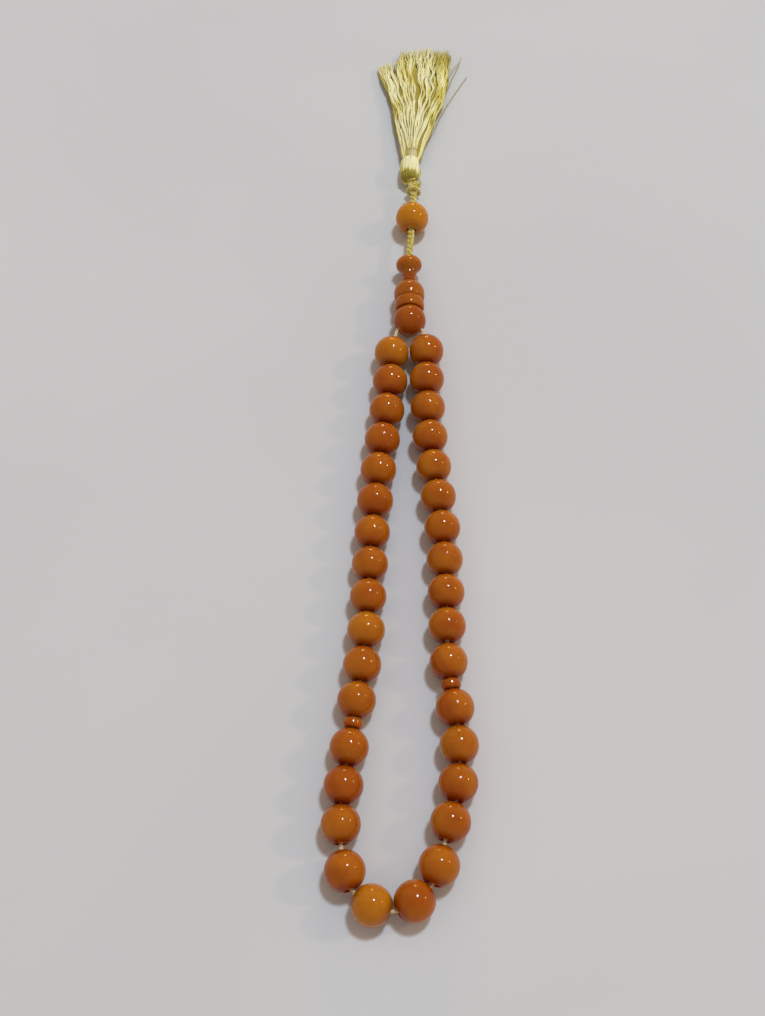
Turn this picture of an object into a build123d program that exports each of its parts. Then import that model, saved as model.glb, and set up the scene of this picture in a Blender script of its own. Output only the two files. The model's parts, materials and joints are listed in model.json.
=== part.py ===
from build123d import *
import math
import os

# Misbaha prayer beads: a loop of round beads on one thread, closed by an imam bead and its turned
# head, with a gold cord, a free bead and a tassel. It lies flat on a table. Millimetres, +Z up,
# +Y towards the tassel. The origin is at the middle of the footprint, on the table.

# Driving dimensions
bead_lengths = {1: 10.0, 3: 9.95, 7: 9.65, 10: 9.8, 16: 9.95, 21: 9.8, 26: 9.7, 31: 9.85, 33: 9.95}
bead_contact = 2.6  # width of the ring on which close beads would touch, inside their mouths
bead_bore = 2.3
bead_mouth = 3.4  # the bore is countersunk to this at both ends
thread_diameter = 1.1
gold_cord_diameter = 2.3
divider_diameter = 5.2
divider_thickness = 2.7
divider_gap = 0.05
tassel_end_y = 147.65

# The loop: beads on the left leg, round the bottom and up the right leg
bead_count = 34
divider_after = (12, 23)
first_bead_distance = 28.2  # along the thread, from its end in the head to the first bead's edge
# Thread left bare after these beads
slack_after = {
    2: 0.1, 15: 1.45, 16: 1.1, 17: 1.4, 18: 0.9, 19: 1.05, 20: 0.1, 21: 0.05, 22: 0.05, 24: 0.4, 28: 0.1,
}
thread_height = 5.1  # level with the middle of a bead of the mean size

# Thread route: x and y of its corners, from the left end in the head to the right end
loop_route = [
    (2.75, 48.85),
    (2.9, 39.85),
    (2.8, 31.05),
    (-1.9, 21.65),
    (-2.4, 3.85),
    (-5.7, -20.15),
    (-8.0, -48.15),
    (-9.1, -76.0),
    (-12.7, -100.15),
    (-15.1, -118.15),
    (-15.0, -129.05),
    (-13.2, -139.45),
    (-2.5, -145.85),
    (8.3, -138.25),
    (10.0, -128.85),
    (14.1, -117.05),
    (15.2, -101.15),
    (12.4, -83.15),
    (12.5, -62.15),
    (12.1, -42.15),
    (8.9, -14.15),
    (8.2, 3.85),
    (8.6, 22.05),
    (4.2, 31.05),
    (4.1, 39.85),
    (4.25, 48.85),
]

# Head column: turned pieces on one axis, from the imam bead to the finial
head_x = 3.5
head_bore = 2.9  # both ends of the thread pass through it side by side
imam_diameter = 9.85
imam_y = 28.35
thread_channel = 1.7
piece_gap = 0.1  # between the stacked pieces of the head
collar_start_y = 32.1
finial_cap_diameter = 8.0
finial_cap_height = 2.9
finial_mouth = 3.8
knot_cavity = 4.6
head_knot_diameter = 3.6
pivot_clearance = 0.05  # between the knot and the rounded end of the gold cord

# Turned outlines: radius and height above the piece's lower face
collar_foot = (3.9, 0.0)
collar_side = [(4.25, 0.2), (4.5, 1.3), (4.42, 2.65), (4.2, 3.5)]
head_bead_foot = (4.05, 0.0)
head_bead_side = [(4.3, 0.3), (4.68, 2.5), (4.15, 4.6), (2.95, 5.95), (1.95, 6.55)]
finial_foot = [(1.95, 0.0), (2.2, 0.35), (2.1, 0.7)]
finial_side = [(1.9, 1.9), (2.05, 3.1), (2.65, 4.4), (3.5, 5.7)]
finial_cap_start = 6.9  # height of the finial's widest place above its lower face

# Gold cord: from the finial's mouth, where it swings, to the knot at the tassel
gold_route = [
    (3.5, 51.75, 5.05),
    (4.4, 63.35, 5.05),
    (5.2, 75.45, 5.0),
    (5.45, 82.15, 4.4),
]
top_bead_distance = 16.1  # along the gold cord, from its pivot to the bead's centre
top_bead_diameter = 10.35
top_bead_bore = 3.0
top_bead_mouth = 3.7
tassel_knot_diameter = 4.3
cord_past_knot_centre = 0.6
loop_ring_radius = 1.85
loop_ring_thickness = 1.1
loop_ring_behind_knot = 2.3

# Tassel: head, binding and fringe on one axis
tassel_x = 4.8
tassel_head_x = 4.4
tassel_z = 3.4
tassel_head_start_y = 84.45
tassel_head_end_y = 93.25
tassel_head_side = [(1.9, 0.0), (2.75, 1.4), (3.1, 4.2), (2.3, 8.8)]
binding_end_y = 97.85
binding_diameter = 4.7
strand_core_diameter = 3.0
strand_core_start_y = 87.45
core_clearance = 0.05

# Fringe outline: y, centre x, centre z, width and thickness of each cross-section
fringe_sections = [
    (binding_end_y + 0.05, 5.0, 3.4, 4.7, 4.5),
    (104.85, 6.0, 2.6, 10.8, 4.6),
    (120.85, 6.5, 1.95, 18.4, 3.5),
    (137.0, 6.4, 1.25, 25.4, 2.2),
    (tassel_end_y, 7.6, 0.8, 17.0, 1.3),
]


def cord_path(points):
    """Straight runs joined by tangent arcs, each as large as its two runs allow."""
    corners = [Vector(p) for p in points]
    radii = []
    for before, corner, after in zip(corners, corners[1:], corners[2:]):
        run_in = corner - before
        run_out = after - corner
        half_turn = math.radians(run_in.get_angle(run_out)) / 2
        radii.append(0.45 * min(run_in.length, run_out.length) / math.tan(half_turn))
    return FilletPolyline(*corners, radius=radii), radii


def cord_tube(path, diameter):
    start = Plane(origin=path @ 0, z_dir=path % 0)
    return sweep(start * Circle(diameter / 2), path=path)


def point_along(path, distance):
    return path.position_at(distance, position_mode=PositionMode.LENGTH)


def turned(outline, y_of_zero=0.0, x=head_x, z=thread_height):
    """A solid of revolution about an axis along +Y. Its outline is drawn as (radius, height)."""
    solid = revolve(outline, axis=Axis.Z)
    return Plane(origin=(x, y_of_zero, z), x_dir=(1, 0, 0), z_dir=(0, 1, 0)).location * solid


def rod(diameter, y_from, y_to, x=head_x, z=thread_height):
    """A cylinder along +Y."""
    base = Plane(origin=(x, y_from, z), x_dir=(1, 0, 0), z_dir=(0, 1, 0))
    return extrude(base * Circle(diameter / 2), amount=y_to - y_from)


def ball(diameter, centre):
    return Pos(*centre) * Sphere(diameter / 2)


def drilled_bead(diameter, bore, mouth):
    """A round bead on the Z axis, with a straight bore that is countersunk at both ends."""
    radius = diameter / 2
    mouth_height = math.sqrt(radius**2 - (mouth / 2) ** 2)
    sink_depth = mouth - bore
    wall = Polyline(
        (mouth / 2, mouth_height),
        (bore / 2, mouth_height - sink_depth),
        (bore / 2, sink_depth - mouth_height),
        (mouth / 2, -mouth_height),
    )
    surface = ThreePointArc((mouth / 2, -mouth_height), (radius, 0), (mouth / 2, mouth_height))
    outline = Plane.XZ * make_face([wall, surface])
    return revolve(outline, axis=Axis.Z)


def bead_length(number):
    """Room that a bead takes up: each named length holds from its bead up to the next one named."""
    return bead_lengths[max(first for first in bead_lengths if first <= number)]


def bead_diameter(number):
    return math.hypot(bead_length(number), bead_contact)


def bead_seat(path, distance, half_length, height):
    """Where a piece sits: a third of the way from the thread to the chord between its two ends."""
    end_in = point_along(path, distance - half_length)
    middle = point_along(path, distance)
    end_out = point_along(path, distance + half_length)
    chord_middle = (end_in + end_out) / 2
    centre = middle * (2 / 3) + chord_middle / 3
    return Plane(origin=(centre.X, centre.Y, height), x_dir=(0, 0, 1), z_dir=end_out - end_in)


def loop_seats(path):
    """The seats of the beads and of the two dividers, walked along the thread."""
    beads = []
    dividers = []
    distance = first_bead_distance
    divider_room = divider_thickness + 2 * divider_gap
    for number in range(1, bead_count + 1):
        length = bead_length(number)
        height = bead_diameter(number) / 2
        beads.append(bead_seat(path, distance + length / 2, length / 2, height))
        distance += length + slack_after.get(number, 0)
        if number in divider_after:
            middle = distance + divider_room / 2
            dividers.append(bead_seat(path, middle, divider_thickness / 2, thread_height))
            distance += divider_room
    return beads, dividers


def make_divider():
    """A small rounded disc that marks off a third of the loop."""
    bore = bead_bore / 2
    rim = divider_diameter / 2
    outline = Pos((bore + rim) / 2, 0) * Rectangle(rim - bore, divider_thickness)
    outline = fillet(outline.vertices().group_by(Axis.X)[-1], 0.4 * divider_thickness)
    outline = fillet(outline.vertices().group_by(Axis.X)[0], 0.1 * divider_thickness)
    return revolve(Plane.XZ * outline, axis=Axis.Z)


def make_imam():
    """The imam bead, drilled for the two ends of the thread: two holes below, one above."""
    imam = ball(imam_diameter, (head_x, imam_y, thread_height))
    for route in (loop_points[:5], loop_points[-5:]):
        imam -= cord_tube(cord_path(route)[0], thread_channel)
    return imam


def head_piece(side, foot, start_y):
    """A solid turned piece of the head, from its foot up its side to its flat top."""
    top_radius, length = side[-1]
    rest = Polyline((top_radius, length), (0, length), (0, 0), foot, side[0])
    return turned(Plane.XZ * make_face([Spline(*side), rest]), start_y)


def make_collar():
    """The lower turned piece of the head, hollowed below to sit on the imam bead."""
    collar = head_piece(collar_side, collar_foot, collar_start_y)
    collar -= ball(imam_diameter + 2 * piece_gap, (head_x, imam_y, thread_height))
    return collar - rod(head_bore, collar_start_y - 1, head_bead_start_y)


def make_head_bead():
    """The upper turned piece of the head: a barrel with a domed top."""
    bead = head_piece(head_bead_side, head_bead_foot, head_bead_start_y)
    return bead - rod(head_bore, head_bead_start_y - 1, finial_start_y)


def make_finial():
    """The vase-shaped finial: flared foot, neck and cap, hollow for the knot inside."""
    cap_radius = finial_cap_diameter / 2
    foot_edge = ThreePointArc(*finial_foot)
    side_ways = [(-1, 1), (0, 1)]
    side = Spline(finial_foot[-1], *finial_side, (cap_radius, finial_cap_start), tangents=side_ways)
    cap_centre = (0, finial_cap_start)
    cap = EllipticalCenterArc(cap_centre, cap_radius, finial_cap_height, arc_size=90)
    top = finial_cap_start + finial_cap_height
    rest = Polyline((0, top), (0, 0), finial_foot[0])
    finial = turned(Plane.XZ * make_face([foot_edge, side, cap, rest]), finial_start_y)
    finial -= rod(head_bore, finial_start_y - 1, head_knot_y)
    finial -= ball(knot_cavity, (head_x, head_knot_y, thread_height))
    return finial - rod(finial_mouth, head_knot_y, finial_start_y + top + 1)


def make_gold_cord(path):
    """The cord, with a rounded end where it turns against the knot in the finial."""
    return cord_tube(path, gold_cord_diameter) + ball(gold_cord_diameter, gold_route[0])


def make_tassel_head():
    """The rounded head of the tassel, bored from the fringe side for the strands' core."""
    end_radius, length = tassel_head_side[-1]
    side = Spline(*tassel_head_side, tangents=[(1, 0.2), (-0.5, 1)])
    rest = Polyline((end_radius, length), (0, length), (0, 0), tassel_head_side[0])
    outline = Plane.XZ * make_face([side, rest])
    head = turned(outline, tassel_head_start_y, tassel_head_x, tassel_z)
    bore = strand_core_diameter + 2 * core_clearance
    bore_start_y = strand_core_start_y - core_clearance
    return head - rod(bore, bore_start_y, tassel_head_end_y + 1, tassel_x, tassel_z)


def make_binding():
    """The wound band that holds the strands together below the head."""
    start_y = tassel_head_end_y + core_clearance
    bore = strand_core_diameter + 2 * core_clearance
    band = rod(binding_diameter, start_y, binding_end_y, tassel_x, tassel_z)
    return band - rod(bore, start_y - 1, binding_end_y + 1, tassel_x, tassel_z)


def make_fringe():
    """The strands: a flat fan on the table, with the core that the binding and head hold."""
    sections = []
    for y, x, z, width, thickness in fringe_sections:
        place = Plane(origin=(x, y, z), x_dir=(1, 0, 0), z_dir=(0, 1, 0))
        sections.append(place * Ellipse(width / 2, thickness / 2))
    fan_start_y = fringe_sections[0][0]
    core = rod(strand_core_diameter, strand_core_start_y, fan_start_y + 1, tassel_x, tassel_z)
    return loft(sections) + core


loop_points = [(x, y, thread_height) for x, y in loop_route]
loop_path, loop_radii = cord_path(loop_points)
gold_path, gold_radii = cord_path(gold_route)
bead_seats, divider_seats = loop_seats(loop_path)

head_bead_start_y = collar_start_y + collar_side[-1][1] + piece_gap
finial_start_y = head_bead_start_y + head_bead_side[-1][1] + piece_gap
head_knot_y = gold_route[0][1] - (gold_cord_diameter + head_knot_diameter) / 2 - pivot_clearance

gold_end_way = gold_path % 1
tassel_knot_centre = Vector(gold_route[-1]) - gold_end_way * cord_past_knot_centre
loop_ring_centre = tassel_knot_centre - gold_end_way * loop_ring_behind_knot
loop_ring_seat = Plane(origin=loop_ring_centre, z_dir=gold_end_way)

top_bead_on_cord = point_along(gold_path, top_bead_distance)
top_bead_centre = Vector(top_bead_on_cord.X, top_bead_on_cord.Y, top_bead_diameter / 2)
top_bead_run = Vector(gold_route[2]) - Vector(gold_route[1])
top_bead_way = Vector(top_bead_run.X, top_bead_run.Y, 0)
top_bead_seat = Plane(origin=top_bead_centre, x_dir=(0, 0, 1), z_dir=top_bead_way)

parts = {}
for number, seat in enumerate(bead_seats, 1):
    bead = drilled_bead(bead_diameter(number), bead_bore, bead_mouth)
    parts[f"bead_{number:02d}"] = seat.location * bead
divider = make_divider()
for side, seat in zip(("left", "right"), divider_seats):
    parts[f"divider_{side}"] = seat.location * divider
parts["thread_loop"] = cord_tube(loop_path, thread_diameter)
parts["imam_bead"] = make_imam()
parts["head_collar"] = make_collar()
parts["head_bead"] = make_head_bead()
parts["head_finial"] = make_finial()
parts["head_knot"] = ball(head_knot_diameter, (head_x, head_knot_y, thread_height))
parts["gold_cord"] = make_gold_cord(gold_path)
top_bead = drilled_bead(top_bead_diameter, top_bead_bore, top_bead_mouth)
parts["top_bead"] = top_bead_seat.location * top_bead
parts["tassel_knot"] = ball(tassel_knot_diameter, tassel_knot_centre)
parts["tassel_loop"] = loop_ring_seat.location * Torus(loop_ring_radius, loop_ring_thickness / 2)
parts["tassel_head"] = make_tassel_head()
parts["tassel_binding"] = make_binding()
parts["tassel_fringe"] = make_fringe()

os.makedirs("parts", exist_ok=True)
for name, solid in parts.items():
    export_step(solid, f"parts/{name}.step")

for name, path, radii, diameter in (
    ("thread_loop", loop_path, loop_radii, thread_diameter),
    ("gold_cord", gold_path, gold_radii, gold_cord_diameter),
):
    expected = math.pi * diameter**2 / 4 * path.length
    volume = cord_tube(path, diameter).volume
    print(f"{name}: length {path.length:.1f}, volume {volume:.2f}, section x length {expected:.2f}")
    print(f"{name}: arc radii " + ", ".join(f"{r:.1f}" for r in radii))
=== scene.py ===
"""Misbaha prayer beads on a pale table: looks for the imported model. Metres, in the model's frame."""

import json
import math

import bpy
import numpy as np
from mathutils import Matrix, Vector


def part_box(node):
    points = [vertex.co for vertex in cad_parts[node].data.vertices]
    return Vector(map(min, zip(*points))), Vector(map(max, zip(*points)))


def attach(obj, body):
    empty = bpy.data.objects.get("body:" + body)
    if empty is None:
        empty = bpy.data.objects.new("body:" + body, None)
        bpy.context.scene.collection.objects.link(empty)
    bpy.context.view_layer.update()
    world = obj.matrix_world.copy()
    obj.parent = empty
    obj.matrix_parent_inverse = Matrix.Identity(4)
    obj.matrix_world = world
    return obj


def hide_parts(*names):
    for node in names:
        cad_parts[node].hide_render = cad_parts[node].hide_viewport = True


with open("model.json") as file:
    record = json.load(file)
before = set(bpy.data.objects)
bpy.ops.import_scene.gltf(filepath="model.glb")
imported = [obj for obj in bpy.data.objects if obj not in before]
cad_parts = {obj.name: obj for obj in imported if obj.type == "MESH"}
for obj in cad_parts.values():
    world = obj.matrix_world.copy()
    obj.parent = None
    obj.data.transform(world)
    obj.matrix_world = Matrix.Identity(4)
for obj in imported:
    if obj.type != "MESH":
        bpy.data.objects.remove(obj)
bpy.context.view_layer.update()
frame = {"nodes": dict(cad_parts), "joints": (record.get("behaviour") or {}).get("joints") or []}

MM = 0.001
nodes = frame["nodes"]
joints = frame["joints"]
rng = np.random.default_rng(33)

# ---------------------------------------------------------------- camera, light and floor

CAMERA_PLACE = (-4.7 * MM, -196.15 * MM, 315.1 * MM)
CAMERA_TILT = math.radians(27.4)  # from straight down, towards +Y
CAMERA_LENS = 44.36  # millimetres, for a sensor 36 mm wide

LAMP_DISTANCE = 4.0
LAMPS = (
    # name, direction, width in metres, watts, colour
    ("key_lamp", (0.225, 0.325, 1.0), 0.58, 74.0, (0.74, 0.88, 1.0)),
    ("side_lamp", (0.83, 0.17, 0.53), 0.40, 18.0, (1.0, 0.72, 0.36)),
    ("far_lamp", (0.03, 0.97, 0.22), 0.75, 18.0, (1.0, 0.66, 0.26)),
)
ROOM_COLOUR = (1.0, 0.82, 0.70)
ROOM_STRENGTH = 0.43

FLOOR_SIZE = 6.0


def make_camera():
    camera = bpy.data.objects.new("camera", bpy.data.cameras.new("camera"))
    bpy.context.scene.collection.objects.link(camera)
    camera.location = CAMERA_PLACE
    camera.rotation_euler = (CAMERA_TILT, 0, 0)
    camera.data.sensor_width = 36
    camera.data.lens = CAMERA_LENS
    camera.data.clip_start = 0.01
    bpy.context.scene.camera = camera


def make_lamp(name, towards, width, power, colour):
    """A round soft lamp that shines on the object from the given direction."""
    data = bpy.data.lights.new(name, "AREA")
    data.shape = "DISK"
    data.size = width
    data.energy = power
    data.color = colour
    lamp = bpy.data.objects.new(name, data)
    bpy.context.scene.collection.objects.link(lamp)
    direction = Vector(towards).normalized()
    lamp.location = direction * LAMP_DISTANCE
    lamp.rotation_mode = "QUATERNION"
    lamp.rotation_quaternion = direction.to_track_quat("Z", "Y")


def make_light():
    for lamp in LAMPS:
        make_lamp(*lamp)
    world = bpy.data.worlds.new("soft_room")
    world.use_nodes = True
    background = world.node_tree.nodes["Background"]
    background.inputs["Color"].default_value = (*ROOM_COLOUR, 1)
    background.inputs["Strength"].default_value = ROOM_STRENGTH
    bpy.context.scene.world = world
    bpy.context.scene.view_settings.view_transform = "Standard"


# ---------------------------------------------------------------- node helpers


def new_material(name):
    material = bpy.data.materials.new(name)
    material.use_nodes = True
    return material, material.node_tree, material.node_tree.nodes["Principled BSDF"]


def set_inputs(node, values):
    """Sets or links a node's inputs by name or number."""
    for key, value in values.items():
        socket = node.inputs[key]
        if isinstance(value, bpy.types.NodeSocket):
            node.id_data.links.new(value, socket)
        elif isinstance(value, tuple) and socket.type == "RGBA":
            socket.default_value = (*value, 1)
        else:
            socket.default_value = value


def add(tree, kind, values=None, **settings):
    """Adds a shader node with its settings and its inputs' values."""
    node = tree.nodes.new("ShaderNode" + kind)
    for key, value in settings.items():
        setattr(node, key, value)
    set_inputs(node, values or {})
    return node


def maths(tree, operation, a, b):
    return add(tree, "Math", {0: a, 1: b}, operation=operation).outputs[0]


def scaled(tree, vector, x, y, z):
    values = {0: vector, 1: (x, y, z)}
    return add(tree, "VectorMath", values, operation="MULTIPLY").outputs[0]


def place_in_mm(tree):
    """The place on the object in millimetres, the same for every piece."""
    return scaled(tree, add(tree, "TexCoord").outputs["Object"], 1000, 1000, 1000)


def noise(tree, vector, scale, detail, distortion=0.0):
    values = {"Vector": vector, "Scale": scale, "Detail": detail, "Distortion": distortion}
    return add(tree, "TexNoise", values).outputs[0]


def between(tree, value, low, high, out_low=0.0, out_high=1.0):
    """Smoothly maps low..high to out_low..out_high."""
    values = {"Value": value, 1: low, 2: high, 3: out_low, 4: out_high}
    return add(tree, "MapRange", values, interpolation_type="SMOOTHSTEP").outputs[0]


def mix(tree, factor, a, b):
    """Mixes two colours: a where the factor is 0, b where it is 1."""
    node = add(tree, "Mix", data_type="RGBA")
    set_inputs(node, {0: factor, 6: a, 7: b})
    return node.outputs[2]


def attribute(tree, name, output="Fac"):
    return add(tree, "Attribute", attribute_name=name).outputs[output]


def bump(tree, height, distance, strength):
    values = {"Height": height, "Distance": distance, "Strength": strength}
    return add(tree, "Bump", values).outputs[0]


# ---------------------------------------------------------------- materials


def amber_material(name, deep, body, golden, bore_shade_colour, light_depth):
    """Polished, cloudy resin that lets some light through, with painted shade beside the drilled holes,
    darker and redder there.
    """
    material, tree, shader = new_material(name)
    place = place_in_mm(tree)
    broad = noise(tree, place, 0.10, 1.0, 0.3)
    cloud = noise(tree, place, 0.19, 1.0, 0.2)
    mist = noise(tree, place, 0.7, 3.0, 0.4)
    colour = mix(tree, between(tree, cloud, 0.25, 0.75), deep, body)
    colour = mix(tree, between(tree, broad, 0.42, 0.72, 0.0, 0.4), colour, golden)
    glow = maths(tree, "MULTIPLY", attribute(tree, "golden"), between(tree, cloud, 0.0, 0.4))
    colour = mix(tree, glow, colour, golden)
    colour = mix(tree, between(tree, mist, 0.45, 0.75, 0.0, 0.15), colour, deep)
    # painted shade: darker red towards the bores, where the pieces meet and in their hollows
    colour = mix(tree, attribute(tree, "near_hole"), colour, bore_shade_colour)
    smudge = noise(tree, place, 0.9, 4.0, 0.6)
    set_inputs(
        shader,
        {
            "Base Color": colour,
            "Roughness": between(tree, smudge, 0.3, 0.75, 0.07, 0.10),
            "IOR": 1.5,
            "Specular IOR Level": 0.26,
            "Subsurface Weight": 1.0,
            "Subsurface Radius": (1.0, 0.5, 0.2),
            "Subsurface Scale": light_depth,
            "Normal": bump(tree, smudge, 0.00002, 0.15),
        },
    )
    return material


def thread_material(name, shaded, plain, bright, roughness, metallic=0.0, sheen=0.3):
    """Yarn of fine fibres that run along each strand, from the strands' own coordinates."""
    material, tree, shader = new_material(name)
    fibre = attribute(tree, "fibre", "Vector")
    fine = noise(tree, scaled(tree, fibre, 9, 9, 0.9), 1.0, 3.0)
    patchy = noise(tree, scaled(tree, fibre, 0.8, 0.8, 0.35), 1.0, 2.0)
    # painted shade: the shaded colour in streaks between the fibres
    colour = mix(tree, between(tree, fine, 0.35, 0.65), shaded, plain)
    # painted highlight: the bright colour in patches
    colour = mix(tree, between(tree, patchy, 0.45, 0.7, 0.0, 0.7), colour, bright)
    # tone darkens a strand or ply towards the painted shade colour
    colour = mix(tree, maths(tree, "MULTIPLY", attribute(tree, "tone"), 0.5), colour, shaded)
    set_inputs(
        shader,
        {
            "Base Color": colour,
            "Roughness": between(tree, fine, 0.3, 0.7, roughness - 0.1, roughness + 0.12),
            "Metallic": metallic,
            "Sheen Weight": sheen,
            "Sheen Roughness": 0.4,
            "Normal": bump(tree, fine, 0.00006, 0.7),
        },
    )
    return material


def silk_material(name, deep, middle, cream, roughness=0.42):
    """Artificial silk with painted light: cream on top, and painted shade of deeper yellow low down
    between the strands.
    """
    material, tree, shader = new_material(name)
    fibre = attribute(tree, "fibre", "Vector")
    place = place_in_mm(tree)
    fine = noise(tree, scaled(tree, fibre, 9, 9, 0.5), 1.0, 2.0)
    patchy = noise(tree, scaled(tree, fibre, 0.3, 0.3, 0.16), 1.0, 2.0)
    zone = noise(tree, scaled(tree, place, 0.19, 0.055, 0.19), 1.0, 1.0)
    uneven = between(tree, patchy, 0.3, 0.7, -0.14, 0.14)
    # painted light: depth (how high and open a strand lies) lightens the colour, tone darkens it
    lift = maths(tree, "ADD", attribute(tree, "depth"), uneven)
    lift = maths(tree, "ADD", lift, maths(tree, "MULTIPLY", attribute(tree, "tone"), -0.4))
    lift = maths(tree, "SUBTRACT", lift, between(tree, zone, 0.5, 0.70, 0.0, 0.6))
    colour = mix(tree, between(tree, lift, -0.1, 0.45), deep, middle)
    colour = mix(tree, between(tree, lift, 0.35, 0.95), colour, cream)
    colour = mix(tree, between(tree, fine, 0.45, 0.75, 0.0, 0.35), colour, middle)
    set_inputs(
        shader,
        {
            "Base Color": colour,
            "Roughness": between(tree, fine, 0.3, 0.7, roughness - 0.08, roughness + 0.1),
            "Specular IOR Level": 0.45,
            "Normal": bump(tree, fine, 0.00006, 0.5),
        },
    )
    return material


def floor_material():
    material, tree, shader = new_material("pale_table")
    place = add(tree, "TexCoord").outputs["Object"]
    broad = noise(tree, place, 6.0, 3.0, 0.5)
    grain = noise(tree, place, 900.0, 2.0)
    colour = mix(tree, between(tree, broad, 0.3, 0.7), (0.665, 0.685, 0.71), (0.70, 0.72, 0.745))
    set_inputs(
        shader,
        {
            "Base Color": colour,
            "Roughness": between(tree, grain, 0.3, 0.7, 0.82, 0.92),
            "Specular IOR Level": 0.2,
            "Normal": bump(tree, grain, 0.0001, 0.15),
        },
    )
    return material


amber = amber_material(
    "amber",
    deep=(0.35, 0.072, 0.0022),
    body=(0.42, 0.110, 0.0034),
    golden=(0.54, 0.235, 0.0075),
    bore_shade_colour=(0.22, 0.016, 0.001),
    light_depth=7.5 * MM,
)
dark_amber = amber_material(
    "dark_amber",
    deep=(0.36, 0.078, 0.0022),
    body=(0.42, 0.110, 0.0034),
    golden=(0.48, 0.170, 0.0060),
    bore_shade_colour=(0.22, 0.018, 0.001),
    light_depth=3.0 * MM,
)
cream_yarn = thread_material(
    "cream_yarn",
    shaded=(0.66, 0.44, 0.20),
    plain=(0.96, 0.78, 0.50),
    bright=(1.0, 0.93, 0.74),
    roughness=0.45,
)
gold_yarn = thread_material(
    "gold_yarn",
    shaded=(0.42, 0.30, 0.015),
    plain=(1.0, 0.88, 0.18),
    bright=(1.0, 1.0, 0.72),
    roughness=0.28,
    metallic=0.1,
    sheen=0.0,
)
silk = silk_material(
    "tassel_silk",
    deep=(0.40, 0.32, 0.03),
    middle=(0.84, 0.75, 0.20),
    cream=(1.0, 0.99, 0.68),
)
shaded_silk = silk_material(
    "shaded_silk",
    deep=(0.44, 0.37, 0.10),
    middle=(0.72, 0.64, 0.30),
    cream=(0.98, 0.93, 0.66),
    roughness=0.3,
)

# ---------------------------------------------------------------- lines and strands


def spline_line(points):
    """The points of a smooth NURBS line that has the given route as its control points."""
    curve = bpy.data.curves.new("route", "CURVE")
    curve.dimensions = "3D"
    spline = curve.splines.new("NURBS")
    spline.points.add(len(points) - 1)
    for target, point in zip(spline.points, points):
        target.co = (*point, 1)
    spline.order_u = 3
    spline.use_endpoint_u = True
    spline.resolution_u = 24
    carrier = bpy.data.objects.new("route", curve)
    mesh = bpy.data.meshes.new_from_object(carrier)
    line = np.array([v.co for v in mesh.vertices], float)
    bpy.data.objects.remove(carrier)
    bpy.data.curves.remove(curve)
    bpy.data.meshes.remove(mesh)
    return line


def distances(line):
    """How far along a line each of its points lies."""
    steps = np.linalg.norm(np.diff(line, axis=0), axis=1)
    return np.concatenate([[0], np.cumsum(steps)])


def evenly(line, step):
    """The same line with its points about a step apart."""
    along = distances(line)
    at = np.linspace(0, along[-1], max(2, round(along[-1] / step) + 1))
    return np.stack([np.interp(at, along, line[:, k]) for k in range(3)], axis=1)


def route_line(route, step):
    """A smooth line through a route in millimetres, with its points about a step apart."""
    return evenly(spline_line([tuple(c * MM for c in place) for place in route]), step)


def unit(vectors):
    return vectors / np.linalg.norm(vectors, axis=-1, keepdims=True)


def frames(line, over=(0, 0, 1)):
    """The way, side and upper direction at each point of a line that never runs along over."""
    way = unit(np.gradient(line, axis=0))
    side = unit(np.cross(way, np.array(over, float)))
    return way, side, np.cross(side, way)


def wound(line, radius, pitch, phase, over=(0, 0, 1)):
    """A line that winds round another one."""
    way, side, upper = frames(line, over)
    angle = (phase + 2 * math.pi * distances(line) / pitch)[:, None]
    return line + radius * (np.cos(angle) * side + np.sin(angle) * upper)


def smooth_through(at, table):
    """Values at the given places of a smooth curve through the rows of a table."""
    table = np.array(table, float)
    knots, values = table[:, 0], table[:, 1:]
    slopes = np.gradient(values, knots, axis=0)
    k = np.clip(np.searchsorted(knots, at) - 1, 0, len(knots) - 2)
    span = (knots[k + 1] - knots[k])[:, None]
    t = np.clip((at - knots[k])[:, None] / span, 0, 1)
    return (
        (2 * t**3 - 3 * t**2 + 1) * values[k]
        + (t**3 - 2 * t**2 + t) * span * slopes[k]
        + (3 * t**2 - 2 * t**3) * values[k + 1]
        + (t**3 - t**2) * span * slopes[k + 1]
    )


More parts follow.
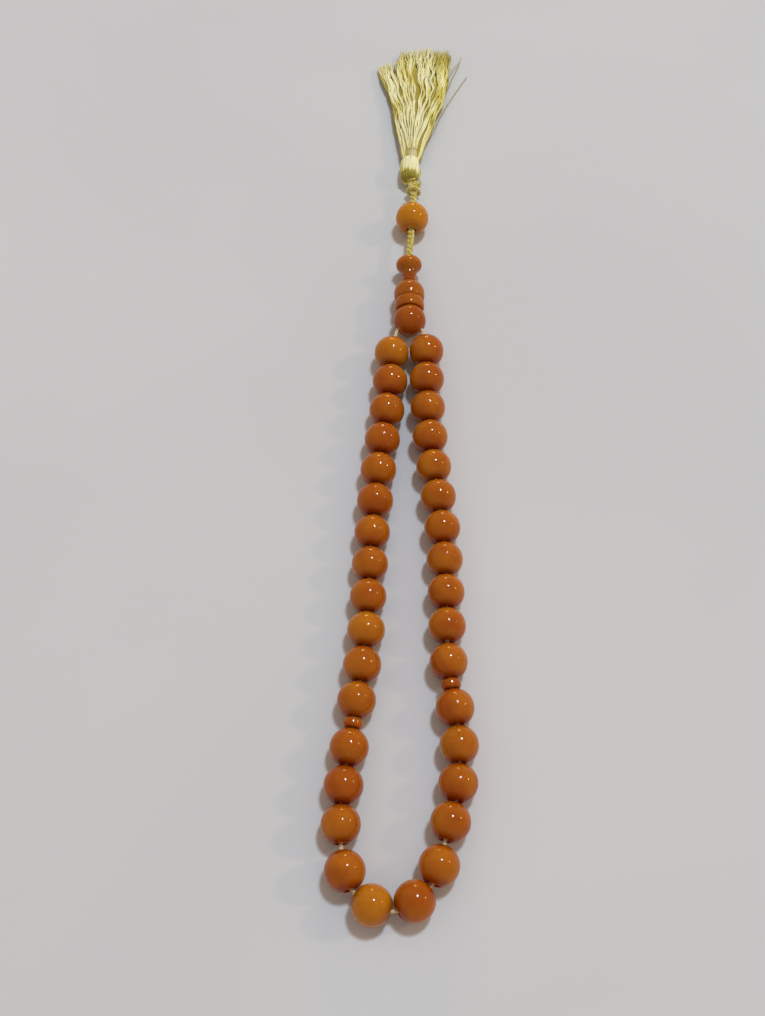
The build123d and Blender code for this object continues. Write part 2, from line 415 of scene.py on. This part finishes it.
class Strands:
    """Tubes gathered into one mesh. fibre is each tube's straightened coordinate in millimetres; depth
    sets how much painted light or shade the silk gives a tube.
    """

    def __init__(self):
        self.points = []
        self.faces = []
        self.values = {"fibre": [], "tone": [], "depth": []}
        self.count = 0

    def add(self, line, radius, sides=6, flat=1.0, spin=0.0, tone=0.5, depth=1.0, over=(0, 0, 1)):
        """A tube along line. flat squashes its section, which turns once every spin metres."""
        way, side, upper = frames(line, over)
        rings = len(line)
        along = distances(line)
        radius = np.broadcast_to(radius, rings)
        around = np.linspace(0, 2 * math.pi, sides, endpoint=False)
        turn = 2 * math.pi * along / spin if spin else np.zeros(rings)
        wide = np.cos(around)[None, :] * radius[:, None]
        high = np.sin(around)[None, :] * radius[:, None] * flat
        cos, sin = np.cos(turn)[:, None], np.sin(turn)[:, None]
        across = wide * cos - high * sin
        over_it = wide * sin + high * cos
        skin = line[:, None] + across[..., None] * side[:, None] + over_it[..., None] * upper[:, None]
        tips = np.stack([line[0] - way[0] * radius[0] * 0.6, line[-1] + way[-1] * radius[-1] * 0.6])
        self.points.append(np.concatenate([skin.reshape(-1, 3), tips]))

        first = np.arange(rings - 1)[:, None] * sides + np.arange(sides)[None, :]
        after = np.arange(rings - 1)[:, None] * sides + (np.arange(sides)[None, :] + 1) % sides
        quads = np.stack([first, after, after + sides, first + sides], axis=-1).reshape(-1, 4)
        last = (rings - 1) * sides
        start_tip = rings * sides
        ends = [(start_tip, (k + 1) % sides, k) for k in range(sides)]
        ends += [(start_tip + 1, last + k, last + (k + 1) % sides) for k in range(sides)]
        self.faces += (quads + self.count).tolist()
        self.faces += [tuple(k + self.count for k in end) for end in ends]

        local = np.stack([wide, high, np.broadcast_to(along[:, None], wide.shape)], axis=-1)
        local_tips = [(0, 0, 0), (0, 0, along[-1])]
        fibre = np.concatenate([local.reshape(-1, 3), local_tips]) / MM + self.count * 0.37
        depth = np.repeat(np.broadcast_to(depth, rings), sides)
        self.values["fibre"].append(fibre)
        self.values["tone"].append(np.full(rings * sides + 2, tone))
        self.values["depth"].append(np.concatenate([depth, depth[[0, -1]]]))
        self.count += rings * sides + 2

    def piece(self, name, material):
        """The gathered tubes as one smooth piece."""
        piece = new_piece(name, np.concatenate(self.points), self.faces, material)
        set_values(piece, **{key: np.concatenate(parts) for key, parts in self.values.items()})
        return piece


def new_piece(name, points, faces, material):
    """One smooth-shaded mesh object."""
    mesh = bpy.data.meshes.new(name)
    mesh.from_pydata(np.asarray(points).tolist(), [], faces)
    mesh.polygons.foreach_set("use_smooth", [True] * len(mesh.polygons))
    mesh.materials.append(material)
    mesh.update()
    piece = bpy.data.objects.new(name, mesh)
    bpy.context.scene.collection.objects.link(piece)
    return piece


def set_values(piece, **values):
    """Stores a number or a vector for each point of a piece, which its material reads by name."""
    for key, numbers in values.items():
        numbers = np.asarray(numbers, np.float32)
        if numbers.ndim == 0:
            numbers = np.full(len(piece.data.vertices), numbers)
        kind, field = ("FLOAT_VECTOR", "vector") if numbers.ndim == 2 else ("FLOAT", "value")
        layer = piece.data.attributes.new(key, kind, "POINT")
        layer.data.foreach_set(field, numbers.ravel())


def stand_for(piece, body, slot, *replaced):
    """Makes a piece ride on a body, in place of CAD nodes; slot is not used."""
    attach(piece, body)
    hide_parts(*replaced)


def box_middle(node):
    """The middle and the size of a node's box."""
    low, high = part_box(node)
    return (low + high) / 2, high - low


def give_material(node, material):
    """Gives a CAD node that stays in sight its finished material."""
    nodes[node].data.materials.clear()
    nodes[node].data.materials.append(material)


def lathe(profile, segments):
    """Points and faces of a closed outline of (radius, height) turned about Z."""
    angle = np.linspace(0, 2 * math.pi, segments, endpoint=False)
    radius, height = np.array(profile, float).T
    x = radius[:, None] * np.cos(angle)
    y = radius[:, None] * np.sin(angle)
    z = np.broadcast_to(height[:, None], x.shape)
    points = np.stack([x, y, z], axis=-1).reshape(-1, 3)
    ring = np.arange(len(profile))[:, None] * segments
    next_ring = (np.arange(len(profile))[:, None] + 1) % len(profile) * segments
    here = np.arange(segments)[None, :]
    beside = (here + 1) % segments
    quads = np.stack([ring + here, ring + beside, next_ring + beside, next_ring + here], axis=-1)
    return points, quads.reshape(-1, 4)[:, ::-1].tolist()


# ---------------------------------------------------------------- cords

THREAD_DIAMETER = 1.1 * MM
THREAD_PITCH = 2.3 * MM
THREAD_HEIGHT = 5.1 * MM
THREAD_ROUTE = [
    (2.75, 48.85),
    (2.9, 39.85),
    (2.8, 31.05),
    (-1.9, 21.65),
    (-2.4, 3.85),
    (-5.7, -20.15),
    (-8.0, -48.15),
    (-9.1, -76.0),
    (-12.7, -100.15),
    (-15.1, -118.15),
    (-15.0, -129.05),
    (-13.2, -139.45),
    (-2.5, -145.85),
    (8.3, -138.25),
    (10.0, -128.85),
    (14.1, -117.05),
    (15.2, -101.15),
    (12.4, -83.15),
    (12.5, -62.15),
    (12.1, -42.15),
    (8.9, -14.15),
    (8.2, 3.85),
    (8.6, 22.05),
    (4.2, 31.05),
    (4.1, 39.85),
    (4.25, 48.85),
]

GOLD_DIAMETER = 2.3 * MM
GOLD_PITCH = 3.6 * MM
GOLD_ROUTE = [
    (3.5, 51.75, 5.05),
    (4.4, 63.35, 5.05),
    (5.2, 75.45, 5.0),
    (5.45, 82.15, 4.4),
]


def make_thread():
    """The loop's thread: two softly twisted, uneven plies on one smooth line."""
    route = [(x * MM, y * MM, THREAD_HEIGHT) for x, y in THREAD_ROUTE]
    line = evenly(spline_line(route), 0.2 * MM)
    along = distances(line)
    ply_radius = 0.29 * THREAD_DIAMETER
    strands = Strands()
    for ply in range(2):
        twisted = wound(line, THREAD_DIAMETER / 2 - ply_radius, THREAD_PITCH, math.pi * ply)
        lumps = 0.09 * np.sin(along / (0.71 * MM) + ply) * np.sin(along / (1.9 * MM))
        # the second ply gets a little painted shade
        strands.add(twisted, ply_radius * (1 + lumps), sides=8, tone=0.35 * ply)
    thread = strands.piece("thread", cream_yarn)
    stand_for(thread, "string", "cream_thread", "thread_loop")


def twisted_pair(strands, line, offset, radius, pitch, sides, tone, over=(0, 0, 1)):
    """Two plain plies wound round each other along a line. tone darkens the second one with painted
    shade.
    """
    for ply in range(2):
        ply_line = wound(line, offset, pitch, math.pi * ply, over)
        strands.add(ply_line, radius, sides=sides, tone=tone * ply, over=over)


def gold_plies(strands, line, diameter, pitch, yarns, bright):
    """Two plies of twisted gold yarns, wound round each other along a line."""
    ply_offset = 0.22 * diameter
    yarn_radius = 0.13 * diameter
    yarn_offset = diameter / 2 - ply_offset - yarn_radius
    for ply in range(2):
        ply_line = wound(line, ply_offset, pitch, math.pi * ply)
        # painted shade: each ply's core takes the full shaded colour; bright keeps the yarns over it
        # lighter
        strands.add(ply_line, yarn_offset, sides=6, tone=1.0)
        for yarn in range(yarns):
            turn = 2 * math.pi * yarn / yarns
            yarn_line = wound(ply_line, yarn_offset, -0.6 * pitch, turn)
            strands.add(yarn_line, yarn_radius, sides=6, tone=rng.uniform(0, 0.9) - bright)


def make_gold_cord():
    """The gold cord, and the line that it follows to the tassel's knot."""
    line = route_line(GOLD_ROUTE, 0.13 * MM)
    strands = Strands()
    gold_plies(strands, line, GOLD_DIAMETER, GOLD_PITCH, yarns=4, bright=0.3)
    cord = strands.piece("cord_gold", gold_yarn)
    stand_for(cord, "cord", "gold_cord", "gold_cord")
    return cord, line


make_camera()
make_light()
make_thread()
gold_cord, gold_line = make_gold_cord()

# ---------------------------------------------------------------- beads

BEAD_COUNT = 34
BEAD_SEGMENTS = 72
BEAD_BORE = 1.15 * MM  # radii of the bore and of its countersunk mouth
BEAD_MOUTH = 1.7 * MM
TOP_BEAD_BORE = 1.5 * MM
TOP_BEAD_MOUTH = 1.6 * MM
GOLDEN_BEADS = {"bead_01": 0.4, "bead_10": 0.45, "bead_17": 0.6, "bead_22": 0.3, "top_bead": 1.0}


def bead_profile(radius, bore, mouth):
    """The closed outline of a drilled bead, with tight rings at the lips of its bore."""
    lip = math.asin(mouth / radius)
    sweep = np.linspace(lip + 0.06, math.pi - lip - 0.06, 42)
    start, end = [lip + 0.01, lip + 0.03], [math.pi - lip - 0.03, math.pi - lip - 0.01]
    sweep = np.concatenate([start, sweep, end])
    outside = [(radius * math.sin(a), radius * math.cos(a)) for a in sweep]
    lip_height = radius * math.cos(lip)
    depth = 2 * (mouth - bore)
    sink = [
        (mouth - 0.03 * MM, -lip_height + 0.05 * MM),
        (bore + 0.1 * MM, -lip_height + depth * 0.8),
        (bore, -lip_height + depth * 1.1),
    ]
    return outside + sink + [(r, -z) for r, z in reversed(sink)]


def joint_axis(body):
    """The direction of the joint that moves a body."""
    joint = next(j for j in joints if j["child"] == body)
    return Vector(joint["axis"])


def upright(way):
    """The turn that takes +Z to the given direction."""
    return np.array(Vector(way).to_track_quat("Z", "Y").to_matrix())


def make_bead(name, bore, mouth):
    """One turned bead, very slightly out of round, on its bore axis."""
    centre, size = box_middle(name)
    radius = size.z / 2
    points, faces = lathe(bead_profile(radius, bore, mouth), BEAD_SEGMENTS)
    angle = np.arctan2(points[:, 1], points[:, 0])
    out = np.linalg.norm(points[:, :2], axis=1)
    phase, phase_high = rng.uniform(0, 2 * math.pi, 2)
    shrink = 0.0035 * (1 + np.sin(2 * angle + phase)) * (out / radius) ** 2
    shrink += 0.002 * (1 + np.sin(3 * angle + phase_high)) * (out / radius) ** 2
    points[:, :2] *= (1 - shrink)[:, None]
    # painted shade: strongest at both ends of the bore, where the beads meet, and inside the mouths
    height = np.abs(points[:, 2]) / radius
    near_hole = np.clip((height - 0.6) / 0.34, 0, 1) ** 1.4
    near_hole = np.where(out < mouth, 1.0, near_hole)
    golden = GOLDEN_BEADS.get(name, rng.uniform(0, 0.25))
    placed = points @ upright(joint_axis(name)).T + np.array(centre)
    piece = new_piece(name + "_amber", placed, faces, amber)
    set_values(piece, near_hole=near_hole * (1 - 0.5 * golden), golden=golden)
    stand_for(piece, name, "amber", name)


for number in range(1, BEAD_COUNT + 1):
    make_bead(f"bead_{number:02d}", BEAD_BORE, BEAD_MOUTH)
make_bead("top_bead", TOP_BEAD_BORE, TOP_BEAD_MOUTH)

for name in ("imam_bead", "divider_left", "divider_right"):
    give_material(name, dark_amber)

# ---------------------------------------------------------------- turned head

# Outlines of radius and height above each piece's lower face, in millimetres. A side is smooth,
# and an inside has straight walls.
COLLAR_SIDE = (
    (3.9, 0.0),
    (4.25, 0.2),
    (4.42, 0.7),
    (4.5, 1.3),
    (4.5, 2.0),
    (4.42, 2.65),
    (4.2, 3.5),
)
COLLAR_INSIDE = ((1.45, 3.5), (1.45, 1.06), (2.2, 0.77), (2.9, 0.35), (3.34, 0.0))
HEAD_BEAD_SIDE = (
    (4.05, 0.0),
    (4.3, 0.3),
    (4.6, 1.4),
    (4.68, 2.5),
    (4.52, 3.7),
    (4.15, 4.6),
    (3.6, 5.45),
    (2.95, 5.95),
    (1.95, 6.55),
)
HEAD_BEAD_INSIDE = ((1.45, 6.55), (1.45, 0.0))
FINIAL_SIDE = (
    (1.95, 0.0),
    (2.25, 0.35),
    (2.2, 0.8),
    (2.12, 1.5),
    (2.15, 2.5),
    (2.28, 3.5),
    (2.5, 4.3),
    (2.95, 5.05),
    (3.55, 5.8),
    (3.88, 6.3),
    (4.0, 6.9),
)
FINIAL_CAP = (4.0, 2.9)  # the dome above that side: its radius and its full height
FINIAL_INSIDE = ((1.9, 9.45), (1.9, 6.7), (2.3, 4.9), (1.45, 3.1), (1.45, 0.0))
HEAD_SEGMENTS = 96


def rounded_line(points, step=0.12):
    """A smooth line through a turned piece's outline."""
    points = np.array(points)
    knots = distances(points)
    at = np.linspace(0, knots[-1], round(knots[-1] / step) + 1)
    return smooth_through(at, np.column_stack([knots, points]))


def softened(points, reach=0.06):
    """Straight walls of an outline, with tight pairs of points beside each corner."""
    points = np.array(points)
    near = []
    for start, end in zip(points, points[1:]):
        step = (end - start) * min(0.4, reach / np.linalg.norm(end - start))
        near += [start + step * 0.5, start + step, end - step, end - step * 0.5]
    return np.array(near)


def finial_outline():
    """The finial's side and its domed cap, which is open on top where the cord comes out."""
    cap_width, cap_height = FINIAL_CAP
    cap_start = FINIAL_SIDE[-1][1]
    cap_turn = np.linspace(0, math.pi / 2 - 0.5, 20)[1:]
    cap = [(cap_width * math.cos(t), cap_start + cap_height * math.sin(t)) for t in cap_turn]
    return np.concatenate([rounded_line(FINIAL_SIDE), cap])


def make_turned(name, side, inside):
    """One turned piece of the head, on the head's axis."""
    middle, _ = box_middle(name)
    low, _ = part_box(name)
    profile = np.concatenate([side[:-1], softened([side[-1], *inside, side[0]])]) * MM
    points, faces = lathe(profile[::-1], HEAD_SEGMENTS)
    out = np.linalg.norm(points[:, :2], axis=1) / MM
    placed = points @ upright((0, 1, 0)).T + np.array([middle.x, low.y, middle.z])
    piece = new_piece(name + "_amber", placed, faces, dark_amber)
    # painted shade on the inner walls and the narrow parts near the axis
    set_values(piece, near_hole=np.clip(1.2 - out / 3, 0, 0.7), golden=0.3)
    stand_for(piece, name, "dark_amber", name)


make_turned("head_collar", rounded_line(COLLAR_SIDE), COLLAR_INSIDE)
make_turned("head_bead", rounded_line(HEAD_BEAD_SIDE), HEAD_BEAD_INSIDE)
make_turned("head_finial", finial_outline(), FINIAL_INSIDE)

# ---------------------------------------------------------------- tassel

HEAD_MIDDLE_X = 4.0
HEAD_LEAN = 0.35  # how far the head's middle moves to +X from its near end to its far end
HEAD_SHORTER = 0.9  # the strands' folds start this far inside the head's near end
HEAD_STRANDS = 38
HEAD_PROFILE = (
    # height above the near end and radius, in millimetres
    (0.0, 1.95),
    (0.5, 2.5),
    (1.5, 2.82),
    (3.2, 3.05),
    (5.4, 3.08),
    (7.4, 2.9),
    (8.8, 2.55),
)
# The winding of the neck and the golden tie beside it: radii of the turns and of the yarn, in millimetres
NECK_TURNS = 15
NECK_RADIUS = 1.78
NECK_YARN = 0.18
TIE_RADIUS = 2.3
TIE_YARN = 0.13
FRINGE_SECTIONS = (
    # y, middle x, half width, middle z, half thickness, in millimetres
    (93.3, 4.7, 2.5, 3.3, 2.1),
    (96.5, 4.95, 3.4, 3.2, 2.4),
    (99.9, 5.15, 4.1, 3.0, 2.6),
    (103.8, 5.35, 5.0, 2.8, 2.5),
    (109.2, 5.75, 6.35, 2.55, 2.35),
    (114.9, 6.3, 7.4, 2.3, 2.15),
    (120.6, 6.8, 8.7, 2.05, 1.9),
    (126.3, 6.7, 9.8, 1.8, 1.6),
    (132.2, 6.2, 11.2, 1.5, 1.35),
    (138.1, 5.9, 12.1, 1.2, 1.05),
    (147.0, 6.1, 12.7, 1.0, 0.8),
)
FRINGE_ENDS = (
    # share of the half width, from the left edge to the right, and y where strands end there
    (-1.0, 138.6),
    (-0.55, 140.2),
    (-0.42, 142.4),
    (-0.3, 145.8),
    (0.0, 147.1),
    (0.45, 147.6),
    (0.75, 147.2),
    (1.0, 144.5),
)
BED_SIDES = 48
# Along a strand, in millimetres
STRAND_STEP = 0.75
SPREAD_LENGTH = 30  # locks part and wave more and more over this length
FLARE_START = 126  # y from which the strands' ends fan out
FLARE_LENGTH = 20
TAPER_LENGTH = 7

head_low, head_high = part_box("tassel_head")
neck_low, neck_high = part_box("tassel_binding")
head_middle = ((head_low + head_high) / 2) / MM
neck_middle = ((neck_low + neck_high) / 2) / MM


def ride_tassel(piece, *replaced):
    stand_for(piece, "tassel", "tassel_silk", *replaced)


def make_tassel_head():
    """Lengthwise strands folded over a core: pleats where the loop goes in, with painted shade on the
    pleats and the near end, cream above them.
    """
    strands = Strands()
    start = head_low.y / MM + HEAD_SHORTER
    length = head_high.y / MM - start
    share = np.linspace(0, 1, 34)
    radius = smooth_through(share * length, HEAD_PROFILE)[:, 0]
    middle_x = HEAD_MIDDLE_X + HEAD_LEAN * share
    axis = np.stack([middle_x, start + share * length, 0 * share + head_middle.z], axis=1)
    # painted shade: the core takes the deepest colour
    strands.add(axis * MM, (radius - 0.42) * MM, sides=24, tone=1.0, depth=-0.3)
    for index in range(HEAD_STRANDS):
        angle = 2 * math.pi * (index + rng.uniform(-0.2, 0.2)) / HEAD_STRANDS
        angle = angle + 0.06 * np.sin(share * 4 + rng.uniform(0, 6))
        pleat = rng.uniform(0.2, 0.42)
        sunk = np.interp(share, [0, pleat - 0.1, pleat + 0.06, 1], [0.28, 0.34, 0.0, 0.06])
        reach = radius - 0.26 - sunk * (index % 2) + rng.uniform(-0.05, 0.05)
        line = axis + np.stack([reach * np.cos(angle), 0 * angle, reach * np.sin(angle)], axis=1)
        thick = 0.08 + 0.085 * radius - 0.03 * np.exp(-(((share - 0.15) / 0.2) ** 2))
        # painted light: shade at the near end and on the pleats, lighter beyond them
        depth = np.interp(share, [0, pleat - 0.12, pleat + 0.05, 0.9, 1], [-0.3, -0.1, 1.0, 1.15, 0.6])
        strands.add(line * MM, thick * MM, sides=6, tone=rng.uniform(0, 0.6), depth=depth)
    ride_tassel(strands.piece("tassel_head_strands", silk), "tassel_head")


def winding(angle, middle_x, reach, y):
    """Turns of yarn round the neck, in millimetres."""
    x = middle_x + reach * np.cos(angle)
    z = neck_middle.z + reach * np.sin(angle)
    return np.stack([x, y, z], axis=1)


def make_neck():
    """The satin band between the head and the fringe, wound from one yarn."""
    strands = Strands()
    length = (neck_high.y - neck_low.y) / MM
    angle = np.linspace(0, 2 * math.pi * NECK_TURNS, NECK_TURNS * 36)
    rise = length * angle / angle[-1]
    reach = np.interp(rise, [0, 0.8, length], [NECK_RADIUS + 0.27, NECK_RADIUS, NECK_RADIUS])
    line = winding(angle, neck_middle.x, reach, neck_low.y / MM + rise)
    strands.add(line * MM, NECK_YARN * MM, sides=6, tone=0.4, depth=0.75, over=(0, 1, 0))
    ride_tassel(strands.piece("tassel_neck", shaded_silk), "tassel_binding")


def make_tie():
    """Two turns of golden yarn where the neck meets the head."""
    strands = Strands()
    angle = np.linspace(0, 4 * math.pi, 120)
    y = neck_low.y / MM - 0.05 + 0.3 * angle / angle[-1]
    line = winding(angle, neck_middle.x - 0.3, TIE_RADIUS, y)
    strands.add(line * MM, TIE_YARN * MM, sides=6, tone=0.3, over=(0, 1, 0))
    ride_tassel(strands.piece("tassel_tie", gold_yarn))


def fringe_line(y, side, height, waves, lift):
    """A strand's line: at a share of the fan's half width and thickness, plus its own waves."""
    middle_x, half_width, middle_z, half_thick = smooth_through(y, FRINGE_SECTIONS).T
    x = middle_x + side * half_width + waves
    rounded = np.sqrt(np.maximum(0.12, 1 - 0.85 * side**2))
    z = middle_z + height * half_thick * rounded + lift
    return np.stack([x, y, z], axis=1)


def make_bed():
    """A closed golden core inside the fan, so nothing shows through between the strands."""
    y = np.arange(94.0, 137.5, 1.0)
    around = np.linspace(0, 2 * math.pi, BED_SIDES, endpoint=False)
    middle_x, half_width, middle_z, half_thick = smooth_through(y, FRINGE_SECTIONS).T
    shrink = np.interp(y, [94, 99, 125, 137], [0.95, 0.86, 0.8, 0.5])
    x = middle_x[:, None] + (shrink * half_width)[:, None] * np.cos(around)
    z = middle_z[:, None] + (0.5 * half_thick)[:, None] * np.sin(around)
    points = np.stack([x, np.broadcast_to(y[:, None], x.shape), z], axis=-1).reshape(-1, 3) * MM
    ring = np.arange(len(y) - 1)[:, None] * BED_SIDES
    next_ring = ring + BED_SIDES
    here = np.arange(BED_SIDES)[None, :]
    beside = (here + 1) % BED_SIDES
    quads = np.stack([ring + here, ring + beside, next_ring + beside, next_ring + here], axis=-1)
    faces = quads.reshape(-1, 4)[:, ::-1].tolist()
    faces += [tuple(range(BED_SIDES)), tuple(reversed(range(len(points) - BED_SIDES, len(points))))]
    bed = new_piece("fringe_bed", points, faces, silk)
    # painted shade: a low depth gives the core the silk's deep colour of the gaps
    set_values(bed, fibre=points / MM * (3.0, 1.0, 3.0), tone=0.5, depth=0.05)
    ride_tassel(bed)


def make_fringe(name, locks, per_lock, low, high, radius, start_y, gathered, replaced=()):
    """One layer of the fringe: locks of strands that wave together, in millimetres.

    The layer lies between the shares low and high of the fan's thickness. At start_y it is drawn
    in to the share gathered of the fan's width.
    """
    strands = Strands()
    end_side, end_y = np.array(FRINGE_ENDS).T
    for lock in range(locks):
        share_of_turn = (lock + rng.uniform(0.1, 0.9)) / locks
        lock_side = math.sin(math.pi * (share_of_turn - 0.5)) * 0.96
        lock_height = rng.uniform(low, high)
        sway = rng.uniform(0.15, 0.5)
        wave, wave_phase = rng.uniform(1.3, 2.6), rng.uniform(0, 6.3)
        drift = rng.normal(0, 0.045)
        for member in range(per_lock):
            end = np.interp(lock_side, end_side, end_y) - abs(rng.normal(0, 1.7))
            end -= rng.uniform(4, 12) * (rng.uniform() < 0.08)
            first = start_y + rng.uniform(0, 0.4)
            y = np.arange(first, end, STRAND_STEP)
            grown = np.clip((y - start_y) / SPREAD_LENGTH, 0, 1)
            flare = np.clip((y - FLARE_START) / FLARE_LENGTH, 0, 1) ** 1.5
            side = lock_side + drift * grown + rng.normal(0, 0.03) * (0.4 + flare * 1.9)
            spread = np.interp(y - start_y, [0, 9, 25], [gathered, 0.4 + 0.6 * gathered, 1])
            side = np.clip(side, -1.03, 1.0) * spread
            own_wave = 0.13 * np.sin(y / rng.uniform(0.8, 1.6) + rng.uniform(0, 6.3))
            waves = grown * (sway * np.sin(y / wave + wave_phase) + own_wave)
            rank = rng.uniform(-1, 1)
            lift = 0.22 * rank * grown + 0.16 * grown * np.sin(y / wave + wave_phase + 1.5)
            line = fringe_line(y, side, lock_height, waves, lift)
            thick = radius * rng.uniform(0.7, 1.25)
            line[:, 2] = np.maximum(line[:, 2], thick + 0.03)
            taper = np.interp(y, [first, end - TAPER_LENGTH, end], [0.85, 1, 0.25]) * thick
            # painted light: strands higher in the fan and lifted ones are lighter, the fanned ends a
            # little darker
            depth = np.full(len(y), 0.08 + 0.95 * (lock_height + 1) / 2 + 0.25 * rank)
            strands.add(
                line * MM,
                taper * MM,
                sides=6,
                flat=0.6,
                spin=rng.uniform(14, 40) * MM,
                tone=rng.uniform(0, 1),
                depth=depth - 0.1 * flare,
            )
    ride_tassel(strands.piece(name, silk), *replaced)


# Routes of loose strands and yarns: x, y and z of a few places, in millimetres
STRAYS_BESIDE_FRINGE = (
    [(12.6, 108.5, 2.0), (14.2, 114.0, 1.5), (17.6, 121.5, 0.9), (21.2, 128.5, 0.7), (24.4, 134.2, 0.5)],
    [(15.2, 121.0, 1.8), (17.4, 127.0, 1.4), (19.3, 133.5, 1.1), (21.8, 139.0, 0.8), (22.6, 143.5, 0.5)],
    [(13.0, 122.0, 2.4), (16.8, 131.0, 2.0), (19.6, 137.0, 1.4), (21.9, 140.5, 0.8)],
)
YARN_BESIDE_HEAD = (
    (7.5, 90.3, 3.2),
    (7.9, 88.4, 3.0),
    (6.9, 86.6, 3.6),
    (7.9, 84.6, 2.6),
    (6.9, 82.2, 2.4),
    (7.3, 80.4, 1.6),
)
YARN_ACROSS_KNOT = (
    (1.9, 85.7, 3.2),
    (2.3, 84.6, 2.6),
    (3.2, 84.0, 2.6),
    (4.0, 84.3, 4.2),
    (4.9, 84.2, 5.1),
    (5.9, 84.5, 4.9),
)


def make_strays():
    """Three single strands that have come loose beside the fringe."""
    strands = Strands()
    for route in STRAYS_BESIDE_FRINGE:
        strands.add(route_line(route, 0.4 * MM), 0.12 * MM, sides=5, tone=0.8, depth=0.35)
    ride_tassel(strands.piece("tassel_strays", shaded_silk))


def make_loose_yarn():
    """Two loose golden yarns: a thin one beside the head, and a thicker one across the knot."""
    strands = Strands()
    thin = route_line(YARN_BESIDE_HEAD, 0.15 * MM)
    twisted_pair(strands, thin, 0.12 * MM, 0.15 * MM, pitch=1.1 * MM, sides=5, tone=0.7)
    thick = route_line(YARN_ACROSS_KNOT, 0.12 * MM)
    twisted_pair(strands, thick, 0.17 * MM, 0.21 * MM, pitch=1.3 * MM, sides=6, tone=0.2)
    ride_tassel(strands.piece("tassel_loose_yarn", gold_yarn))


make_tassel_head()
make_neck()
make_tie()
make_bed()
make_fringe(
    "fringe_low",
    locks=34,
    per_lock=5,
    low=-0.9,
    high=0.0,
    radius=0.25,
    start_y=93.2,
    gathered=1.0,
    replaced=["tassel_fringe"],
)
make_fringe(
    "fringe_middle", locks=30, per_lock=5, low=0.1, high=0.55, radius=0.25, start_y=93.4, gathered=0.95
)
make_fringe(
    "fringe_top", locks=20, per_lock=7, low=0.6, high=0.95, radius=0.23, start_y=97.2, gathered=0.38
)
make_strays()
make_loose_yarn()

# ---------------------------------------------------------------- knot and ring

KNOT_CORD_RADIUS = 0.78 * MM
KNOT_PITCH = 2.2 * MM
KNOT_TILT = math.radians(28)
RING_RADIUS = 1.85 * MM
RING_OFFSET = 0.28 * MM
RING_PLY_RADIUS = 0.34 * MM
RING_PITCH = 1.94 * MM


def make_knot():
    """The gold cord's end tied in a three-lobed knot, in front of the tassel's head."""
    centre, size = box_middle("tassel_knot")
    turn = np.linspace(0, 2 * math.pi, 220)
    reach = (size.x / 2 - KNOT_CORD_RADIUS) / 3 * 1.06
    lobes = np.stack(
        [
            np.sin(turn) + 2 * np.sin(2 * turn),
            np.cos(turn) - 2 * np.cos(2 * turn),
            -1.15 * np.sin(3 * turn),
        ],
        axis=1,
    )
    tilt = np.array(Matrix.Rotation(KNOT_TILT, 3, "X"))
    line = (lobes * reach) @ tilt.T + np.array(centre)
    strands = Strands()
    gold_plies(strands, line, 2 * KNOT_CORD_RADIUS, KNOT_PITCH, yarns=3, bright=0.45)
    knot = strands.piece("tassel_knot_gold", gold_yarn)
    stand_for(knot, "cord", "gold_cord", "tassel_knot")
    return knot


def make_loop():
    """The yarn ring that the gold cord passes through: two twisted plies."""
    centre, _ = box_middle("tassel_loop")
    way = joint_axis("tassel_loop")
    angle = np.linspace(0, 2 * math.pi, 90)
    ring = np.stack([RING_RADIUS * np.cos(angle), RING_RADIUS * np.sin(angle), 0 * angle], axis=1)
    ring = ring @ upright(way).T + np.array(centre)
    strands = Strands()
    twisted_pair(strands, ring, RING_OFFSET, RING_PLY_RADIUS, RING_PITCH, sides=7, tone=0.4, over=way)
    loop = strands.piece("tassel_loop_yarn", gold_yarn)
    stand_for(loop, "tassel_loop", "gold_cord", "tassel_loop")


knot = make_knot()
make_loop()
give_material("head_knot", cream_yarn)

# ---------------------------------------------------------------- floor and finish

floor = new_piece(
    "floor",
    [(x * FLOOR_SIZE / 2, y * FLOOR_SIZE / 2, 0) for x, y in ((-1, -1), (1, -1), (1, 1), (-1, 1))],
    [(0, 1, 2, 3)],
    floor_material(),
)
